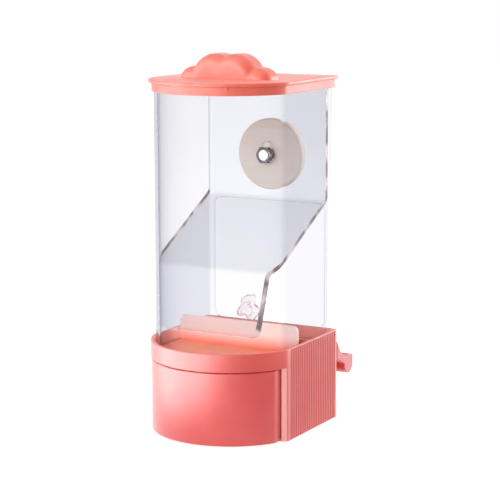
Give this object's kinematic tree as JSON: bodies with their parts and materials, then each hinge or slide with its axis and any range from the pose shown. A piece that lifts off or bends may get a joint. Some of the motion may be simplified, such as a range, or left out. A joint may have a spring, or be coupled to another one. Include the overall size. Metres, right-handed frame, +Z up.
{
  "type": "automatic bird feeder",
  "caption": "Gravity seed feeder for a bird cage: clear D-shaped bin, bent inner sheet, ribbed base with husk drawer, perch, cloud-knob lid and a wooden-disc cage clamp.",
  "frame": {"origin": "centre of the base's underside, under the middle of the base's plan", "axes": "+Z up, +Y towards the cage that the flat back is clamped to, +X to the right seen from the bowed front"},
  "size_m": [0.078, 0.1027, 0.1896],
  "materials": {
    "base_plastic": "satin moulded plastic, salmon pink",
    "tray_plastic": "satin moulded plastic, orange salmon",
    "drawer_plastic": "satin moulded plastic, coral pink",
    "lid_plastic": "satin moulded plastic, salmon pink",
    "clear_acrylic": "clear polished sheet",
    "bright_steel": "bright plated steel",
    "pale_wood": "bare sanded pale wood"
  },
  "bodies": {
    "feeder": {"base_body": "base_plastic", "seed_tray": "tray_plastic", "perch_bar": "base_plastic", "clear_bin": "clear_acrylic", "baffle_sheet": "clear_acrylic"},
    "drawer": {"husk_drawer": "drawer_plastic"},
    "lid": {"lid": "lid_plastic"},
    "bolt": {"clamp_bolt": "bright_steel"},
    "disc": {"clamp_disc": "pale_wood", "disc_washer": "bright_steel"},
    "nut": {"wing_nut": "bright_steel"}
  },
  "joints": [
    {"name": "drawer_slide", "type": "slide", "parent": "feeder", "child": "drawer", "axis": [0, -1, 0], "range_m": [0, 0.06]},
    {"name": "lid_lift", "type": "slide", "parent": "feeder", "child": "lid", "axis": [0, 0, 1], "range_m": [0, 0.03]},
    {"name": "bolt_rise", "type": "slide", "parent": "feeder", "child": "bolt", "axis": [0, 0, 1], "range_m": [0, 0.0039]},
    {"name": "disc_slide", "type": "slide", "parent": "bolt", "child": "disc", "axis": [0, 1, 0], "range_m": [0, 0.0082]},
    {"name": "nut_turn", "type": "hinge", "parent": "disc", "child": "nut", "pos_m": [0, 0.0454, 0.1355], "axis": [0, 1, 0], "range_deg": [0, 3600]}
  ],
  "couplings": [
    {"joint": "disc_slide", "follows": "nut_turn", "m_per_rad": 0.00012732}
  ]
}
